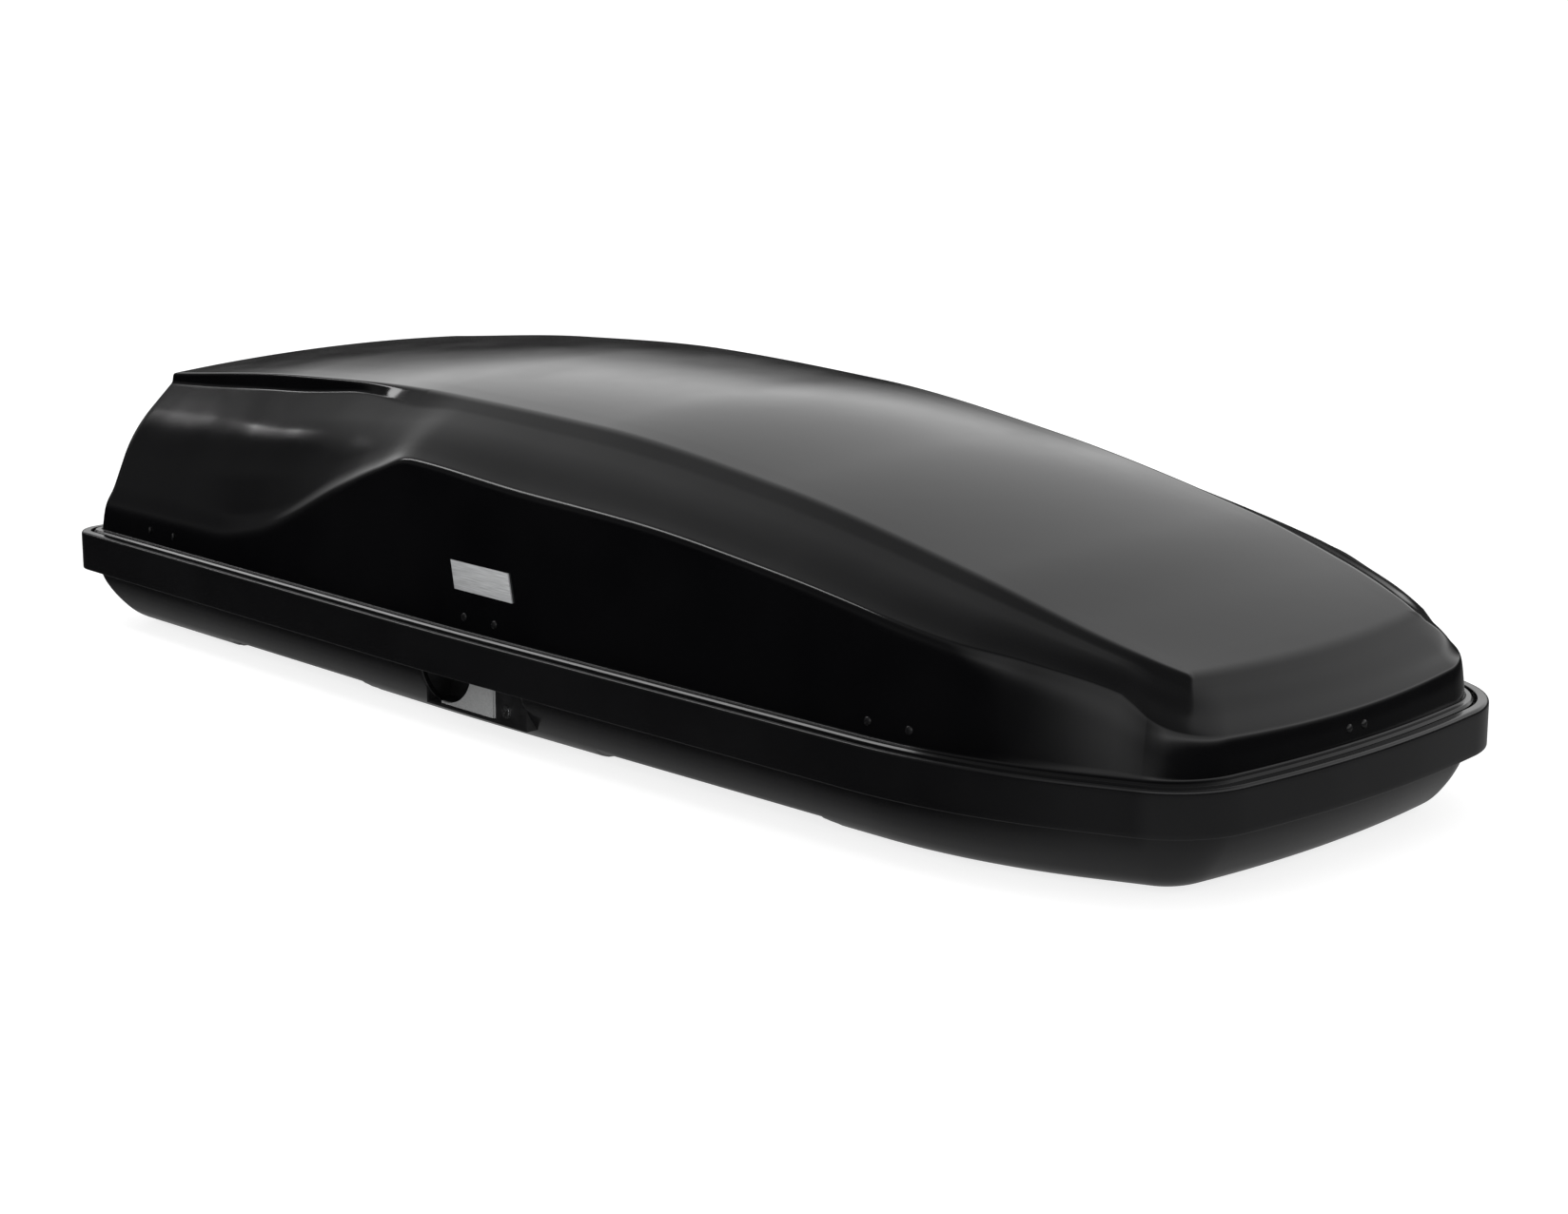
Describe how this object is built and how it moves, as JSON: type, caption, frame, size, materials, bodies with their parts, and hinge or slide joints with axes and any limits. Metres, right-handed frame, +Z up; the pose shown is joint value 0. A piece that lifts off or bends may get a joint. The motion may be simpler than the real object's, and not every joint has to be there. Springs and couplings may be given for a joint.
{
  "type": "roof cargo box",
  "caption": "Closed roof cargo box for a car: keeled tray with a deep rim band and a faceted domed lid that opens from either side on cross arms.",
  "frame": {"origin": "middle of the footprint, on the plane that the keels of the tray rest on", "axes": "+X to the nose, +Y to the left of the car, +Z up"},
  "size_m": [1.9193, 0.8, 0.4023],
  "materials": {
    "lid_gloss": "high gloss black",
    "tray_plastic": "satin black, faint moulding grain",
    "inner_plastic": "matt black",
    "black_plastic": "matt black, fine grain",
    "rail_aluminium": "mill finish extrusion",
    "rivet_steel": "bright zinc",
    "zinc_steel": "zinc plated pressing",
    "black_rivet": "black painted dome heads",
    "strap_webbing": "woven polyester webbing",
    "handle_silver": "satin silver paint",
    "badge_silver": "satin chrome",
    "lock_metal": "satin chrome"
  },
  "bodies": {
    "base": {"base_shell": "tray_plastic", "floor_rail_rear_right": "rail_aluminium", "floor_rail_rear_left": "rail_aluminium", "floor_rail_front_right": "rail_aluminium", "floor_rail_front_left": "rail_aluminium", "floor_rivets_rear": "rivet_steel", "floor_rivets_front": "rivet_steel", "luggage_strap_rear": "strap_webbing", "luggage_strap_front": "strap_webbing", "strap_buckle_rear": "black_plastic", "strap_buckle_front": "black_plastic", "pin_cradle_rear_right": "black_plastic", "pin_cradle_rear_left": "black_plastic", "pin_cradle_middle_right": "black_plastic", "pin_cradle_middle_left": "black_plastic", "pin_cradle_front_right": "black_plastic", "pin_cradle_front_left": "black_plastic", "arm_base_bracket_rear_right": "zinc_steel", "arm_base_bracket_rear_left": "zinc_steel", "arm_base_bracket_front_right": "zinc_steel", "arm_base_bracket_front_left": "zinc_steel", "locator_socket_nose": "black_plastic", "locator_socket_tail": "black_plastic", "handle_housing_right": "black_plastic", "handle_housing_left": "black_plastic", "handle_pin_right": "lock_metal", "handle_pin_left": "lock_metal", "lock_barrel_right": "lock_metal", "lock_barrel_left": "lock_metal"},
    "lid": {"lid_shell": "lid_gloss", "lid_bow_rear": "inner_plastic", "lid_bow_front": "inner_plastic", "lock_plate_rear_right": "zinc_steel", "lock_plate_rear_left": "zinc_steel", "lock_plate_middle_right": "zinc_steel", "lock_plate_middle_left": "zinc_steel", "lock_plate_front_right": "zinc_steel", "lock_plate_front_left": "zinc_steel", "lid_rivets_right": "black_rivet", "lid_rivets_left": "black_rivet", "lid_rivets_nose": "black_rivet", "lid_rivets_tail": "black_rivet", "locator_tongue_nose": "black_plastic", "locator_tongue_tail": "black_plastic", "arm_lid_bracket_rear_right": "zinc_steel", "arm_lid_bracket_rear_left": "zinc_steel", "arm_lid_bracket_front_right": "zinc_steel", "arm_lid_bracket_front_left": "zinc_steel", "side_badge_right": "badge_silver", "side_badge_left": "badge_silver"},
    "arm_rear_right": {"cross_arm_rear_right": "zinc_steel"},
    "arm_rear_left": {"cross_arm_rear_left": "zinc_steel"},
    "arm_front_right": {"cross_arm_front_right": "zinc_steel"},
    "arm_front_left": {"cross_arm_front_left": "zinc_steel"},
    "rail_right": {"lock_rail_right": "zinc_steel"},
    "handle_right": {"paddle_handle_right": "handle_silver"},
    "plug_right": {"key_plug_right": "lock_metal"},
    "rail_left": {"lock_rail_left": "zinc_steel"},
    "handle_left": {"paddle_handle_left": "handle_silver"},
    "plug_left": {"key_plug_left": "lock_metal"}
  },
  "joints": [
    {"name": "open_right_side", "type": "hinge", "parent": "base", "child": "arm_front_right", "pos_m": [0, 0.334, 0.143], "axis": [-1, 0, 0], "range_deg": [0, 40]},
    {"name": "rear_right_arm_swing", "type": "hinge", "parent": "base", "child": "arm_rear_right", "pos_m": [0, 0.334, 0.143], "axis": [-1, 0, 0], "range_deg": [0, 40]},
    {"name": "open_left_side", "type": "hinge", "parent": "arm_front_right", "child": "lid", "pos_m": [0, -0.334, 0.143], "axis": [1, 0, 0], "range_deg": [0, 40]},
    {"name": "rear_left_arm_swing", "type": "hinge", "parent": "lid", "child": "arm_rear_left", "pos_m": [0, 0.334, 0.143], "axis": [-1, 0, 0], "range_deg": [-40, 0]},
    {"name": "front_left_arm_swing", "type": "hinge", "parent": "lid", "child": "arm_front_left", "pos_m": [0, 0.334, 0.143], "axis": [-1, 0, 0], "range_deg": [-40, 0]},
    {"name": "right_key_turn", "type": "hinge", "parent": "base", "child": "plug_right", "pos_m": [-0.029, -0.362, 0.044], "axis": [0, -1, 0], "range_deg": [0, 90]},
    {"name": "right_lock_rail_slide", "type": "slide", "parent": "base", "child": "rail_right", "axis": [1, 0, 0], "range_m": [0, 0.02]},
    {"name": "right_handle_pull", "type": "hinge", "parent": "base", "child": "handle_right", "pos_m": [-0.056, -0.3615, 0.052], "axis": [0, 0, 1], "range_deg": [0, 50], "stiffness_Nm_per_rad": 0.05, "springref_deg": -11.46},
    {"name": "left_key_turn", "type": "hinge", "parent": "base", "child": "plug_left", "pos_m": [-0.029, 0.362, 0.044], "axis": [0, 1, 0], "range_deg": [0, 90]},
    {"name": "left_lock_rail_slide", "type": "slide", "parent": "base", "child": "rail_left", "axis": [1, 0, 0], "range_m": [0, 0.02]},
    {"name": "left_handle_pull", "type": "hinge", "parent": "base", "child": "handle_left", "pos_m": [-0.056, 0.3615, 0.052], "axis": [0, 0, -1], "range_deg": [0, 50], "stiffness_Nm_per_rad": 0.05, "springref_deg": -11.46}
  ],
  "couplings": [
    {"joint": "rear_right_arm_swing", "follows": "open_right_side", "ratio": 1},
    {"joint": "rear_left_arm_swing", "follows": "open_right_side", "ratio": -1},
    {"joint": "front_left_arm_swing", "follows": "open_right_side", "ratio": -1},
    {"joint": "right_key_turn", "follows": "right_lock_rail_slide", "rad_per_m": 78.53},
    {"joint": "left_key_turn", "follows": "left_lock_rail_slide", "rad_per_m": 78.53}
  ]
}
